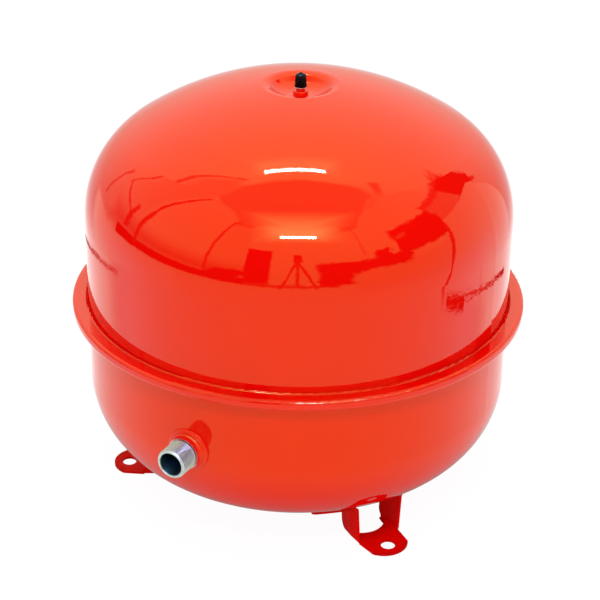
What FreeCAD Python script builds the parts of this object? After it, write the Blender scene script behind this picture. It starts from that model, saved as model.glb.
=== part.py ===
import FreeCAD, Part
import math
import os

# A floor-standing expansion tank of about 35 litres: two pressed steel shells clenched together
# at a rim, a rubber diaphragm clamped between them, a threaded water nipple low on the side,
# an air valve in a recess on top and three pressed feet. Millimetres, +Z up. The origin is on
# the tank's axis at floor level, and the water nipple points along -Y.

# Pressed shells
SHELL_R = 188.0            # outside radius of both straight walls
SHELL_T = 1.5              # sheet thickness
FLOOR_GAP = 13.2           # lowest point of the lower shell above the floor
UPPER_WALL_H = 82.6        # straight wall from the middle of the rim to the knuckle
UPPER_KNUCKLE = 88.5
UPPER_CROWN = 266.0
LOWER_WALL_H = 70.0
LOWER_KNUCKLE = 77.6
LOWER_CROWN = 380.0
FLANGE_BEND = 2.4          # bend between wall and flange, on the outside of the shell

# Clench ring and diaphragm
RIM_OUT = 14.0             # how far the rim stands out of the walls
RIM_T = 1.7
RIM_CORNER = 3.0
RIM_LIP_GAP = 2.5          # open groove between wall and lip
BEAD_T = 2.6               # diaphragm edge between the two flanges
DIAPHRAGM_T = 2.2
DIAPHRAGM_GAP = 3.0        # space between diaphragm and lower shell

# Air valve recess
RECESS_R = 28.8
RECESS_DEPTH = 11.65       # below the top of the crown
RECESS_FLOOR_R = 9.0
RECESS_EDGE = 10.0         # rounding where the recess meets the crown

# Valve collar and stem
COLLAR_R = 6.5
COLLAR_H = 3.9
COLLAR_EDGE = 0.6
COLLAR_SHANK_R = 5.0
COLLAR_SHANK_IN = 2.0      # how far the shank stands inside the shell
STEM_SHANK_R = 3.2
NECK_R = 3.9
NECK_H = 2.6
SHOULDER_R = 5.2
SHOULDER_H = 0.9
STEM_R = 3.85              # over the valve thread
STEM_H = 8.6               # thread above the shoulder
STEM_CHAMFER = 0.5
STEM_CHAMBER_R = 2.25
STEM_OUTLET_R = 1.0
STEM_OUTLET_H = 2.6

# Valve core
CORE_R = 2.6               # over the thread that holds it in the stem
CORE_THREAD_H = 5.0
CORE_RECESS = 0.7          # top of the barrel below the stem mouth
CORE_TONGUE_W = 2.0        # flats for the core key
CORE_TONGUE_H = 2.4
CORE_NOSE_R = 1.85
CORE_NOSE_H = 3.4
CORE_BORE_R = 1.45
CORE_FLOOR_H = 1.0
GASKET_H = 1.3
PIN_R = 0.65
PIN_HOLE_CLEARANCE = 0.08
PIN_RECESS = 0.15          # pin tip below the stem mouth
PIN_BUTTON_R = 1.3
PIN_BUTTON_H = 0.5
PIN_BUTTON_DROP = 2.2      # button below the pin tip
PIN_CUP_R = 1.75
PIN_CUP_H = 0.9
SEAL_H = 0.9
SPRING_WIRE_R = 0.14
SPRING_TURNS = 5
SPRING_PLAY = 0.05         # at each end of the coil
SPRING_SIDES = 6           # flats round the wire
SPRING_STEPS = 14          # straight lengths in each turn

# Valve cap
CAP_R = 5.35
CAP_TOP_R = 4.6
CAP_THREAD_CLEARANCE = 0.1
CAP_SEAL_H = 0.8
CAP_ROOF = 0.9             # solid above the seal, below the cone
CAP_CONE_H = 1.4
CAP_NUB_R = 1.5
CAP_NUB_H = 0.65
CAP_FLUTES = 18
CAP_FLUTE_R = 0.35

# Water nipple, G 3/4
NIPPLE_R = 13.22           # over the thread
NIPPLE_BARREL_R = 14.4     # plain length that is welded in, a stop for the fitting
NIPPLE_BORE_R = 10.0
NIPPLE_THREAD_H = 19.2     # from the end face
NIPPLE_DROP = 63.7         # nipple's axis below the middle of the rim
NIPPLE_OUT = 28.2          # end face beyond the wall
NIPPLE_IN = 1.9            # inner end inside the wall
NIPPLE_CHAMFER = 1.2
BORE_CHAMFER = 0.8
WELD_TOE_R = 19.0
WELD_TOE_H = 1.6           # heights are above the wall
WELD_CREST_R = 16.4
WELD_CREST_H = 4.2
WELD_THROAT_H = 7.0

# Feet, pressed from one strip each
FOOT_T = 2.0
FOOT_BEND = 2.0            # inside bend radius
FOOT_ANGLES = {"right": -30.0, "left": 210.0, "rear": 90.0}
BOLT_CIRCLE_R = 157.5
BOLT_HOLE_R = 6.4
BOLT_DISH_R = 10.5         # shallow coned seat for the washer
BOLT_DISH_H = 0.4
TAB_HALF_W = 20.5          # where it leaves the fins
TAB_END_HALF_W = 18.4      # where its rounded end begins
TAB_END = 14.0             # from the middle of the bolt hole to the tab's tip
TAB_TIP_R = 22.0
WING_OUT = 144.0           # outer edge of the wings, from the tank's axis
WING_DEPTH = 44.0
FIN_SETBACK = 1.5          # fins' front edge behind the wings' outer edge
FIN_HALF_W = 21.5          # outer faces of the fins at their front, on the floor
FIN_CREASE_BACK = 13.0     # upright crease in each fin, behind its front edge
FIN_TOE_IN = 5.0           # degrees that a fin turns towards the axis behind its crease
FIN_LEAN = 3.5             # degrees that each fin leans outwards
FIN_DEPTH = 28.7           # on the floor, from front to rear edge
FIN_REAR_ROUND = 11.5
BASE_NOTCH_R = 21.5
BASE_NOTCH_BACK = 30.2     # its middle behind the fins' front edge
BASE_NOTCH_CURB = 4.2      # left of the base beside each fin, from the fin's outer face
WING_SPAN = 25.6           # degrees to each wing's end
WING_TIP_ROUND = 4.0
WING_TOUCH_R = 120.0       # where the wing comes nearest to the shell
WING_TOUCH_AT = 20.0       # degrees from the foot's middle
WING_GAP = 0.3
WELD_SPOT_R = 3.5
WELD_SPOT_H = 4.0          # before the shell trims it
WELD_SPOT_AT = (13.5, 20.5)
WELD_SPOT_CIRCLE = 122.0

ORIGIN = FreeCAD.Vector(0, 0, 0)
UP = FreeCAD.Vector(0, 0, 1)


def at(r, z):
    """Point of a half section: r from the axis, z above the floor."""
    return FreeCAD.Vector(r, 0, z)


def line(start, end):
    return Part.LineSegment(start, end).toShape()


def on_circle(centre, radius, angle):
    """Point of a circle in the half section, with the angle in radians from +r."""
    return centre + at(radius * math.cos(angle), radius * math.sin(angle))


def arc(centre, radius, start, end):
    """Arc of the half section between two angles in radians."""
    middle = (start + end) / 2
    points = [on_circle(centre, radius, angle) for angle in (start, middle, end)]
    return Part.Arc(*points).toShape()


def angle_of(centre, point):
    return math.atan2(point.z - centre.z, point.x - centre.x)


def revolve(edges):
    """Solid of revolution about Z from the edges of a closed half section."""
    face = Part.Face(Part.Wire(Part.__sortEdges__(edges)))
    return face.revolve(ORIGIN, UP, 360)


def closed_section(points):
    """Closed half section with straight sides."""
    return [line(points[i - 1], points[i]) for i in range(len(points))]


def turned(points):
    """Turned piece from the corners of its half section."""
    return revolve(closed_section([at(r, z) for r, z in points]))


def cylinder(radius, low, high):
    return Part.makeCylinder(radius, high - low, at(0, low), UP)


def ring(outer, inner, low, high):
    return cylinder(outer, low, high).cut(cylinder(inner, low, high))


def crown_rise(knuckle, crown):
    """Height between the centres of a knuckle and of the crown that runs tangent into it."""
    return math.sqrt((crown - knuckle) ** 2 - (SHELL_R - knuckle) ** 2)


def crossing(centre_a, radius_a, centre_b, radius_b):
    """Outer crossing of two circles of the half section."""
    across = centre_b - centre_a
    gap = across.Length
    along = (gap ** 2 + radius_a ** 2 - radius_b ** 2) / (2 * gap)
    half = math.sqrt(radius_a ** 2 - along ** 2)
    unit = across / gap
    foot = centre_a + unit * along
    pair = [foot + at(unit.z, -unit.x) * half, foot - at(unit.z, -unit.x) * half]
    return max(pair, key=lambda point: point.x)


LOWER_CROWN_C = at(0, FLOOR_GAP + LOWER_CROWN)
LOWER_WALL_FOOT = LOWER_CROWN_C.z - crown_rise(LOWER_KNUCKLE, LOWER_CROWN)
LOWER_KNUCKLE_C = at(SHELL_R - LOWER_KNUCKLE, LOWER_WALL_FOOT)
RIM_Z = LOWER_WALL_FOOT + LOWER_WALL_H
RIM_R = SHELL_R + RIM_OUT
FLANGE_R = RIM_R - RIM_CORNER
UPPER_FLANGE_Z = RIM_Z + BEAD_T / 2
LOWER_FLANGE_Z = RIM_Z - BEAD_T / 2
UPPER_WALL_TOP = RIM_Z + UPPER_WALL_H
UPPER_KNUCKLE_C = at(SHELL_R - UPPER_KNUCKLE, UPPER_WALL_TOP)
UPPER_CROWN_C = at(0, UPPER_WALL_TOP - crown_rise(UPPER_KNUCKLE, UPPER_CROWN))
RECESS_Z = UPPER_CROWN_C.z + UPPER_CROWN - RECESS_DEPTH
NIPPLE_Z = RIM_Z - NIPPLE_DROP
NIPPLE_END = SHELL_R + NIPPLE_OUT
WING_IN = WING_OUT - WING_DEPTH
FIN_FRONT = WING_OUT - FIN_SETBACK
FIN_REAR_FOOT = FIN_FRONT - FIN_DEPTH
FIN_CREASE_AT = FIN_FRONT - FIN_CREASE_BACK
BASE_NOTCH_AT = FIN_FRONT - BASE_NOTCH_BACK
TAB_TIP = BOLT_CIRCLE_R + TAB_END


def recess_bowl():
    """Centre and radius of the recess's bowl on the outer skin."""
    rim_z = UPPER_CROWN_C.z + math.sqrt(UPPER_CROWN ** 2 - RECESS_R ** 2)
    rise = rim_z - RECESS_Z
    width = RECESS_R - RECESS_FLOOR_R
    radius = (width ** 2 + rise ** 2) / (2 * rise)
    return at(RECESS_FLOOR_R, RECESS_Z + radius), radius


def upper_skin(inset):
    """Skin of the upper shell from its wall to the valve hole, set in from the outside."""
    bowl_c, bowl = recess_bowl()
    edge_c = crossing(UPPER_CROWN_C, UPPER_CROWN - RECESS_EDGE, bowl_c, bowl + RECESS_EDGE)
    turn = angle_of(UPPER_CROWN_C, UPPER_KNUCKLE_C)
    edge_turn = angle_of(UPPER_CROWN_C, edge_c)
    bowl_turn = angle_of(bowl_c, edge_c)
    edge_end = bowl_turn + math.pi
    knuckle = arc(UPPER_KNUCKLE_C, UPPER_KNUCKLE - inset, 0, turn)
    crown = arc(UPPER_CROWN_C, UPPER_CROWN - inset, turn, edge_turn)
    edge = arc(edge_c, RECESS_EDGE - inset, edge_turn, edge_end)
    dish = arc(bowl_c, bowl + inset, bowl_turn, -math.pi / 2)
    floor_z = RECESS_Z - inset
    floor = line(at(RECESS_FLOOR_R, floor_z), at(COLLAR_SHANK_R, floor_z))
    return [knuckle, crown, edge, dish, floor]


def lower_skin(inset):
    """Skin of the lower shell from its wall to the axis, set in from the outside."""
    turn = angle_of(LOWER_CROWN_C, LOWER_KNUCKLE_C)
    knuckle = arc(LOWER_KNUCKLE_C, LOWER_KNUCKLE - inset, 0, turn)
    crown = arc(LOWER_CROWN_C, LOWER_CROWN - inset, turn, -math.pi / 2)
    return [knuckle, crown]


def flange(wall_end, face_z, upwards):
    """Wall and outward flange of one shell. face_z is the face that grips the diaphragm."""
    back_z = face_z + upwards * SHELL_T
    outer_c = at(SHELL_R + FLANGE_BEND, back_z + upwards * FLANGE_BEND)
    inner_r = SHELL_R - SHELL_T
    turn_start = math.pi
    turn_end = turn_start + upwards * math.pi / 2
    wide = FLANGE_BEND + SHELL_T
    return [
        line(at(SHELL_R, wall_end), at(SHELL_R, outer_c.z)),
        arc(outer_c, FLANGE_BEND, turn_start, turn_end),
        line(at(outer_c.x, back_z), at(FLANGE_R, back_z)),
        line(at(FLANGE_R, back_z), at(FLANGE_R, face_z)),
        line(at(FLANGE_R, face_z), at(outer_c.x, face_z)),
        arc(outer_c, wide, turn_end, turn_start),
        line(at(inner_r, outer_c.z), at(inner_r, wall_end)),
    ]


def upper_shell():
    edges = upper_skin(0) + upper_skin(SHELL_T)
    edges += flange(UPPER_WALL_TOP, UPPER_FLANGE_Z, 1)
    edges.append(line(at(COLLAR_SHANK_R, RECESS_Z), at(COLLAR_SHANK_R, RECESS_Z - SHELL_T)))
    return revolve(edges)


def lower_body():
    """The lower shell's outer form, filled, to trim what is welded on it."""
    top = at(0, LOWER_FLANGE_Z)
    corner = at(SHELL_R, LOWER_FLANGE_Z)
    edges = lower_skin(0)
    edges.append(line(at(SHELL_R, LOWER_WALL_FOOT), corner))
    edges.append(line(corner, top))
    edges.append(line(top, at(0, FLOOR_GAP)))
    return revolve(edges)


def lower_shell():
    edges = lower_skin(0) + lower_skin(SHELL_T)
    edges += flange(LOWER_WALL_FOOT, LOWER_FLANGE_Z, -1)
    edges.append(line(at(0, FLOOR_GAP), at(0, FLOOR_GAP + SHELL_T)))
    hole_start = FreeCAD.Vector(0, 0, NIPPLE_Z)
    hole = Part.makeCylinder(NIPPLE_BARREL_R, NIPPLE_END, hole_start, FreeCAD.Vector(0, -1, 0))
    return revolve(edges).cut(hole)


def clench_ring():
    """C section rolled over both flanges, with rounded outside corners."""
    half = BEAD_T / 2 + SHELL_T + RIM_T
    web = RIM_R - RIM_T
    lip = SHELL_R + RIM_LIP_GAP
    edges = []
    for side in (1, -1):
        face = RIM_Z + side * half
        inside = face - side * RIM_T
        corner_c = at(FLANGE_R, face - side * RIM_CORNER)
        top = side * math.pi / 2
        edges += [
            line(at(lip, face), at(FLANGE_R, face)),
            arc(corner_c, RIM_CORNER, top, 0),
            line(at(RIM_R, corner_c.z), at(RIM_R, RIM_Z)),
            line(at(web, RIM_Z), at(web, corner_c.z)),
            arc(corner_c, RIM_CORNER - RIM_T, 0, top),
            line(at(FLANGE_R, inside), at(lip, inside)),
            line(at(lip, inside), at(lip, face)),
        ]
    return revolve(edges)


def diaphragm():
    """Rubber bowl pressed down towards the lower shell, its edge clamped at the rim."""
    outside = SHELL_T + DIAPHRAGM_GAP
    inside = outside + DIAPHRAGM_T
    edges = lower_skin(outside) + lower_skin(inside)
    edges += [
        line(at(SHELL_R - outside, LOWER_WALL_FOOT), at(SHELL_R - outside, LOWER_FLANGE_Z)),
        line(at(SHELL_R - outside, LOWER_FLANGE_Z), at(FLANGE_R, LOWER_FLANGE_Z)),
        line(at(FLANGE_R, LOWER_FLANGE_Z), at(FLANGE_R, UPPER_FLANGE_Z)),
        line(at(FLANGE_R, UPPER_FLANGE_Z), at(SHELL_R - inside, UPPER_FLANGE_Z)),
        line(at(SHELL_R - inside, UPPER_FLANGE_Z), at(SHELL_R - inside, LOWER_WALL_FOOT)),
        line(at(0, FLOOR_GAP + outside), at(0, FLOOR_GAP + inside)),
    ]
    return revolve(edges)


def about_nipple(points):
    """Turned piece on the nipple's axis from corners of radius and distance."""
    piece = turned(points)
    piece.rotate(ORIGIN, FreeCAD.Vector(1, 0, 0), 90)
    piece.translate(FreeCAD.Vector(0, 0, NIPPLE_Z))
    return piece


def water_nipple():
    inner_end = SHELL_R - SHELL_T - NIPPLE_IN
    thread_end = NIPPLE_END - NIPPLE_THREAD_H
    return about_nipple([
        (NIPPLE_BORE_R, inner_end),
        (NIPPLE_BARREL_R, inner_end),
        (NIPPLE_BARREL_R, thread_end),
        (NIPPLE_R, thread_end),
        (NIPPLE_R, NIPPLE_END - NIPPLE_CHAMFER),
        (NIPPLE_R - NIPPLE_CHAMFER, NIPPLE_END),
        (NIPPLE_BORE_R + BORE_CHAMFER, NIPPLE_END),
        (NIPPLE_BORE_R, NIPPLE_END - BORE_CHAMFER),
    ])


def nipple_weld():
    """Bead round the nipple: a low toe on the shell, a crest and a throat up the nipple."""
    toe_round = WELD_TOE_H / 2
    bead = about_nipple([
        (NIPPLE_BARREL_R, SHELL_R - WELD_CREST_H),
        (WELD_TOE_R, SHELL_R - WELD_CREST_H),
        (WELD_TOE_R, SHELL_R + WELD_TOE_H - toe_round),
        (WELD_TOE_R - toe_round, SHELL_R + WELD_TOE_H),
        (WELD_CREST_R + toe_round, SHELL_R + WELD_TOE_H),
        (WELD_CREST_R, SHELL_R + WELD_TOE_H + toe_round),
        (WELD_CREST_R, SHELL_R + WELD_CREST_H - toe_round),
        (WELD_CREST_R - toe_round, SHELL_R + WELD_CREST_H),
        (NIPPLE_BARREL_R, SHELL_R + WELD_THROAT_H),
    ])
    return bead.cut(lower_body())


COLLAR_TOP = RECESS_Z + COLLAR_H
SHOULDER_Z = COLLAR_TOP + NECK_H
CAP_Z = SHOULDER_Z + SHOULDER_H
MOUTH_Z = CAP_Z + STEM_H
SHANK_Z = RECESS_Z - SHELL_T - COLLAR_SHANK_IN
BARREL_TOP = MOUTH_Z - CORE_RECESS
BARREL_STEP = BARREL_TOP - CORE_TONGUE_H - CORE_THREAD_H
NOSE_Z = BARREL_STEP - CORE_NOSE_H
PIN_TOP = MOUTH_Z - PIN_RECESS
BUTTON_Z = PIN_TOP - PIN_BUTTON_DROP
SPRING_Z = NOSE_Z + CORE_FLOOR_H
CORE_HOLE_R = PIN_R + PIN_HOLE_CLEARANCE


def valve_collar():
    """Turned collar on the recess floor, its shank welded in the shell's hole."""
    return turned([
        (STEM_SHANK_R, SHANK_Z),
        (COLLAR_SHANK_R, SHANK_Z),
        (COLLAR_SHANK_R, RECESS_Z),
        (COLLAR_R, RECESS_Z),
        (COLLAR_R, COLLAR_TOP - COLLAR_EDGE),
        (COLLAR_R - COLLAR_EDGE, COLLAR_TOP),
        (STEM_SHANK_R, COLLAR_TOP),
    ])


def valve_stem():
    """Stem with a stop shoulder for the cap and a stepped bore for the core."""
    seat_z = BARREL_STEP - GASKET_H
    return turned([
        (STEM_OUTLET_R, SHANK_Z),
        (STEM_SHANK_R, SHANK_Z),
        (STEM_SHANK_R, COLLAR_TOP),
        (NECK_R, COLLAR_TOP),
        (NECK_R, SHOULDER_Z),
        (SHOULDER_R, SHOULDER_Z),
        (SHOULDER_R, CAP_Z),
        (STEM_R, CAP_Z),
        (STEM_R, MOUTH_Z - STEM_CHAMFER),
        (STEM_R - STEM_CHAMFER, MOUTH_Z),
        (CORE_R, MOUTH_Z),
        (CORE_R, BARREL_STEP),
        (STEM_CHAMBER_R, seat_z),
        (STEM_CHAMBER_R, SHANK_Z + STEM_OUTLET_H),
        (STEM_OUTLET_R, SHANK_Z + STEM_OUTLET_H),
    ])


def core_barrel():
    """Barrel of the valve core, with two flats at its top for the key."""
    body = turned([
        (CORE_HOLE_R, NOSE_Z),
        (CORE_NOSE_R, NOSE_Z),
        (CORE_NOSE_R, BARREL_STEP),
        (CORE_R, BARREL_STEP),
        (CORE_R, BARREL_TOP),
        (CORE_BORE_R, BARREL_TOP),
        (CORE_BORE_R, SPRING_Z),
        (CORE_HOLE_R, SPRING_Z),
    ])
    for side in (-1, 1):
        corner = FreeCAD.Vector(side * (CORE_TONGUE_W / 2 + CORE_R) - CORE_R, -CORE_R, 0)
        corner.z = BARREL_TOP - CORE_TONGUE_H
        body = body.cut(Part.makeBox(2 * CORE_R, 2 * CORE_R, CORE_TONGUE_H, corner))
    return body


def core_gasket():
    """Tapered sealing ring that the barrel presses into the stem's cone."""
    low = BARREL_STEP - GASKET_H
    return turned([
        (CORE_NOSE_R, low),
        (STEM_CHAMBER_R, low),
        (CORE_R, BARREL_STEP),
        (CORE_NOSE_R, BARREL_STEP),
    ])


def core_pin():
    """Pin with its spring button near the top and the seal's cup at the bottom."""
    seal_z = NOSE_Z - SEAL_H
    cup_z = seal_z - PIN_CUP_H
    return turned([
        (0, cup_z),
        (PIN_CUP_R, cup_z),
        (PIN_CUP_R, seal_z),
        (PIN_R, seal_z),
        (PIN_R, BUTTON_Z - PIN_BUTTON_H),
        (PIN_BUTTON_R, BUTTON_Z - PIN_BUTTON_H),
        (PIN_BUTTON_R, BUTTON_Z),
        (PIN_R, BUTTON_Z),
        (PIN_R, PIN_TOP),
        (0, PIN_TOP),
    ])


def core_seal():
    """Rubber washer that closes the barrel's lower end."""
    return ring(PIN_CUP_R, PIN_R, NOSE_Z - SEAL_H, NOSE_Z)


def core_spring():
    """Coil between the barrel's floor and the pin's button."""
    coil_r = (CORE_HOLE_R + CORE_BORE_R) / 2
    low = SPRING_Z + SPRING_WIRE_R + SPRING_PLAY
    height = BUTTON_Z - PIN_BUTTON_H - SPRING_WIRE_R - SPRING_PLAY - low
    count = SPRING_TURNS * SPRING_STEPS
    sections = []
    for index in range(count + 1):
        around = [2 * math.pi * side / SPRING_SIDES for side in range(SPRING_SIDES)]
        corners = [on_circle(at(coil_r, low + height * index / count), SPRING_WIRE_R, angle)
                   for angle in around]
        wire = Part.makePolygon(corners + corners[:1])
        wire.rotate(ORIGIN, UP, 360 * index / SPRING_STEPS)
        sections.append(wire)
    return Part.makeLoft(sections, True, True)


def valve_cap():
    """Moulded cap with fine flutes for the fingers, a coned top and a small nub."""
    bore = STEM_R + CAP_THREAD_CLEARANCE
    roof = MOUTH_Z + CAP_SEAL_H
    wall_top = roof + CAP_ROOF
    cone_top = wall_top + CAP_CONE_H
    cap = turned([
        (0, roof),
        (bore, roof),
        (bore, CAP_Z),
        (CAP_R, CAP_Z),
        (CAP_TOP_R, wall_top),
        (CAP_NUB_R, cone_top),
        (CAP_NUB_R, cone_top + CAP_NUB_H),
        (0, cone_top + CAP_NUB_H),
    ])
    lean = math.atan2(CAP_R - CAP_TOP_R, wall_top - CAP_Z)
    for index in range(CAP_FLUTES):
        flute = cylinder(CAP_FLUTE_R, 0, wall_top - CAP_Z + CAP_CONE_H)
        flute.rotate(ORIGIN, FreeCAD.Vector(0, 1, 0), -math.degrees(lean))
        flute.translate(at(CAP_R, CAP_Z + SHOULDER_H))
        flute.rotate(ORIGIN, UP, index * 360 / CAP_FLUTES)
        cap = cap.cut(flute)
    return cap


def cap_seal():
    """Rubber disc in the cap, closed on the stem's mouth."""
    return cylinder(STEM_R + CAP_THREAD_CLEARANCE, MOUTH_Z, MOUTH_Z + CAP_SEAL_H)


def offset_line(start, end, distance):
    """Both ends of a side moved to its left in the foot's section."""
    side = end - start
    left = FreeCAD.Vector(0, -side.z, side.y)
    left.normalize()
    return start + left * distance, end + left * distance


def meet(a, b, c, d):
    """Where line a-b meets line c-d in the foot's section."""
    first = b - a
    second = d - c
    across = first.y * second.z - first.z * second.y
    gap = c - a
    share = (gap.y * second.z - gap.z * second.y) / across
    return a + first * share


def offset_path(points, distance):
    """Open path moved to its left, with its corners kept sharp."""
    sides = [offset_line(points[i], points[i + 1], distance) for i in range(len(points) - 1)]
    corners = [meet(*sides[i], *sides[i + 1]) for i in range(len(sides) - 1)]
    return [sides[0][0]] + corners + [sides[-1][1]]


def bent_path(points, radii):
    """Edges of an open path whose inner corners are bends of the given radii."""
    edges = []
    start = points[0]
    for i, radius in enumerate(radii):
        corner = points[i + 1]
        back = points[i] - corner
        ahead = points[i + 2] - corner
        back.normalize()
        ahead.normalize()
        half = back.getAngle(ahead) / 2
        middle = back + ahead
        middle.normalize()
        tangent = radius / math.tan(half)
        near = corner + middle * (radius / math.sin(half) - radius)
        edges.append(line(start, corner + back * tangent))
        edges.append(Part.Arc(corner + back * tangent, near, corner + ahead * tangent).toShape())
        start = corner + ahead * tangent
    edges.append(line(start, points[-1]))
    return edges


def wing_touch(side):
    """Point of the shell nearest to a wing, and the outward normal there, in the foot's frame."""
    turn = math.asin(WING_TOUCH_R / LOWER_CROWN)
    spread = side * math.radians(WING_TOUCH_AT)
    normal = FreeCAD.Vector(math.sin(turn) * math.cos(spread),
                            math.sin(turn) * math.sin(spread), -math.cos(turn))
    return LOWER_CROWN_C + normal * LOWER_CROWN, normal


def wing_height(rho, tau):
    """Height of the wings' upper face, a plane beside the shell."""
    touch, normal = wing_touch(1)
    fall = normal.x * (rho - touch.x) + normal.y * (tau - touch.y)
    return touch.z - fall / normal.z - WING_GAP / abs(normal.z)


def fin_outside(rho):
    """Half the width over the two fins on the floor, at one distance from the tank's axis."""
    behind = max(0.0, FIN_CREASE_AT - rho)
    return FIN_HALF_W - behind * math.tan(math.radians(FIN_TOE_IN))


def foot_section(rho):
    """Closed section of the folded strip at one distance from the tank's axis."""
    width = fin_outside(rho)
    lean = math.tan(math.radians(FIN_LEAN))
    reach = WING_OUT * math.sin(math.radians(WING_SPAN)) + FOOT_T
    near = FreeCAD.Vector(rho, width, wing_height(rho, width))
    far = FreeCAD.Vector(rho, reach, wing_height(rho, reach))
    near, far = offset_line(near, far, -FOOT_T)
    low = FreeCAD.Vector(rho, width, 0)
    high = FreeCAD.Vector(rho, width + lean, 1)
    shoulder = meet(low, high, near, far)
    half = [low, shoulder, far]
    mirrored = [FreeCAD.Vector(rho, -point.y, point.z) for point in reversed(half)]
    under = mirrored + half
    over = offset_path(under, FOOT_T)
    small = FOOT_BEND
    large = FOOT_BEND + FOOT_T
    edges = bent_path(under, [small, large, large, small])
    edges.append(line(under[-1], over[-1]))
    edges += bent_path(list(reversed(over)), [large, small, small, large])
    edges.append(line(over[0], under[0]))
    return Part.Wire(Part.__sortEdges__(edges))


def prism(edges, low, high):
    """Upright prism over a plan outline that lies at z = 0."""
    face = Part.Face(Part.Wire(Part.__sortEdges__(edges)))
    face.translate(at(0, low))
    return face.extrude(at(0, high - low))


def plan(radius, degrees):
    """Plan point by distance from the tank's axis and angle from the foot's middle."""
    angle = math.radians(degrees)
    return FreeCAD.Vector(radius * math.cos(angle), radius * math.sin(angle), 0)


def strip_outline():
    """Plan of the folded strip: an arc sector with rounded wing tips."""
    top = LOWER_WALL_FOOT
    edges = [
        line(plan(WING_IN, -WING_SPAN), plan(WING_OUT, -WING_SPAN)),
        Part.Arc(plan(WING_OUT, -WING_SPAN), plan(WING_OUT, 0), plan(WING_OUT, WING_SPAN)).toShape(),
        line(plan(WING_OUT, WING_SPAN), plan(WING_IN, WING_SPAN)),
        Part.Arc(plan(WING_IN, WING_SPAN), plan(WING_IN, 0), plan(WING_IN, -WING_SPAN)).toShape(),
    ]
    sector = prism(edges, -FOOT_T, top)
    tips = [edge for edge in sector.Edges
            if abs(edge.Vertexes[0].X - edge.Vertexes[-1].X) < 0.001 and edge.Length > top]
    sector = sector.makeFillet(WING_TIP_ROUND, tips)
    front = Part.makeBox(FIN_FRONT, 2 * WING_OUT, 3 * top, FreeCAD.Vector(0, -WING_OUT, -top))
    return sector.common(front)


def fin_rear_cut():
    """What is open behind the fins, seen from the side."""
    behind = WING_IN - FOOT_T
    top = LOWER_WALL_FOOT
    heel = FreeCAD.Vector(FIN_REAR_FOOT + FIN_REAR_ROUND, 0, -FOOT_T)
    corner = FreeCAD.Vector(FIN_REAR_FOOT, 0, FIN_REAR_ROUND)
    knee_c = heel + at(0, FIN_REAR_ROUND + FOOT_T)
    middle = on_circle(knee_c, FIN_REAR_ROUND, math.radians(225))
    floor = at(heel.x, 0)
    edges = [
        line(at(behind, -FOOT_T), heel),
        line(heel, floor),
        Part.Arc(floor, middle, corner).toShape(),
        line(corner, at(FIN_REAR_FOOT, top)),
        line(at(FIN_REAR_FOOT, top), at(behind, top)),
        line(at(behind, top), at(behind, -FOOT_T)),
    ]
    face = Part.Face(Part.Wire(Part.__sortEdges__(edges)))
    zone = FIN_HALF_W + FOOT_BEND + 2 * FOOT_T
    face.translate(FreeCAD.Vector(0, -zone, 0))
    return face.extrude(FreeCAD.Vector(0, 2 * zone, 0))


def tab():
    """Flat tab with a rounded end, in front of the fins."""
    tip_c = TAB_TIP - TAB_TIP_R
    shoulder = tip_c + math.sqrt(TAB_TIP_R ** 2 - TAB_END_HALF_W ** 2)
    corners = [FreeCAD.Vector(FIN_FRONT, TAB_HALF_W, 0),
               FreeCAD.Vector(shoulder, TAB_END_HALF_W, 0),
               FreeCAD.Vector(shoulder, -TAB_END_HALF_W, 0),
               FreeCAD.Vector(FIN_FRONT, -TAB_HALF_W, 0)]
    edges = [
        line(corners[0], corners[1]),
        Part.Arc(corners[1], FreeCAD.Vector(TAB_TIP, 0, 0), corners[2]).toShape(),
        line(corners[2], corners[3]),
        line(corners[3], corners[0]),
    ]
    return prism(edges, 0, FOOT_T)


def foot():
    """One foot in its own frame: X outwards from the tank's axis."""
    places = [WING_IN - FOOT_T, FIN_CREASE_AT, WING_OUT + FOOT_T]
    strip = Part.makeLoft([foot_section(rho) for rho in places], True, True)
    strip = strip.common(strip_outline())
    strip = strip.cut(fin_rear_cut())
    foot_solid = strip.fuse(tab()).removeSplitter()
    notch = Part.makeCylinder(BASE_NOTCH_R, 3 * FOOT_T, FreeCAD.Vector(BASE_NOTCH_AT, 0, -FOOT_T), UP)
    half = fin_outside(BASE_NOTCH_AT) - BASE_NOTCH_CURB
    inside = Part.makeBox(BASE_NOTCH_R * 2, 2 * half, 3 * FOOT_T,
                          FreeCAD.Vector(BASE_NOTCH_AT, -half, -FOOT_T))
    hole = Part.makeCylinder(BOLT_HOLE_R, 3 * FOOT_T, FreeCAD.Vector(BOLT_CIRCLE_R, 0, -FOOT_T), UP)
    dish = Part.makeCone(BOLT_HOLE_R, BOLT_DISH_R, BOLT_DISH_H,
                         FreeCAD.Vector(BOLT_CIRCLE_R, 0, FOOT_T - BOLT_DISH_H), UP)
    return foot_solid.cut(notch.common(inside)).cut(hole).cut(dish)


def foot_welds():
    """Weld spots between one foot's wings and the shell."""
    shell = lower_body()
    spots = []
    for side in (-1, 1):
        normal = wing_touch(side)[1]
        for degrees in WELD_SPOT_AT:
            seat = plan(WELD_SPOT_CIRCLE, side * degrees)
            seat.z = wing_height(seat.x, abs(seat.y))
            spot = Part.makeCylinder(WELD_SPOT_R, WELD_SPOT_H, seat, normal * -1)
            spots.append(spot.cut(shell))
    return Part.makeCompound(spots)


def turned_to(piece, degrees):
    copy = piece.copy()
    copy.rotate(ORIGIN, UP, degrees)
    return copy


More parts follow.
